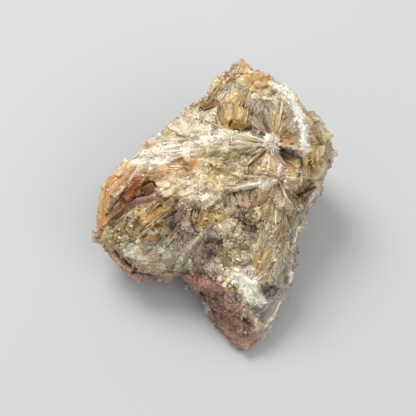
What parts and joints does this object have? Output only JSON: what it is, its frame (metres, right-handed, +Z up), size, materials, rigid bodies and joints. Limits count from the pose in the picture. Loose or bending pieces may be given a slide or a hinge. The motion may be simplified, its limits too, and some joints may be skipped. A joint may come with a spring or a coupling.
{
  "type": "gypsum specimen",
  "caption": "Broken hand specimen of intergrown honey and white bladed gypsum on matrix, lying on its broken back.",
  "frame": {"origin": "in the flat resting face, on the floor under the middle of the lump", "axes": "+Z up from the resting face, +Y towards the raised end, +X to the right when the crystal face is looked at"},
  "size_m": [0.0792, 0.0823, 0.0497],
  "materials": {
    "gypsum_lump": "broken, fine-grained and bladed, mostly satin with glossy cleavage flakes",
    "honey_blades": "translucent honey-coloured cleaved blades, vitreous to pearly",
    "white_needles": "white and cream radiating needles, silky",
    "clear_flakes": "clear cleavage flakes, glossy"
  },
  "bodies": {
    "root": {"gypsum_specimen": "gypsum_lump"}
  },
  "joints": []
}
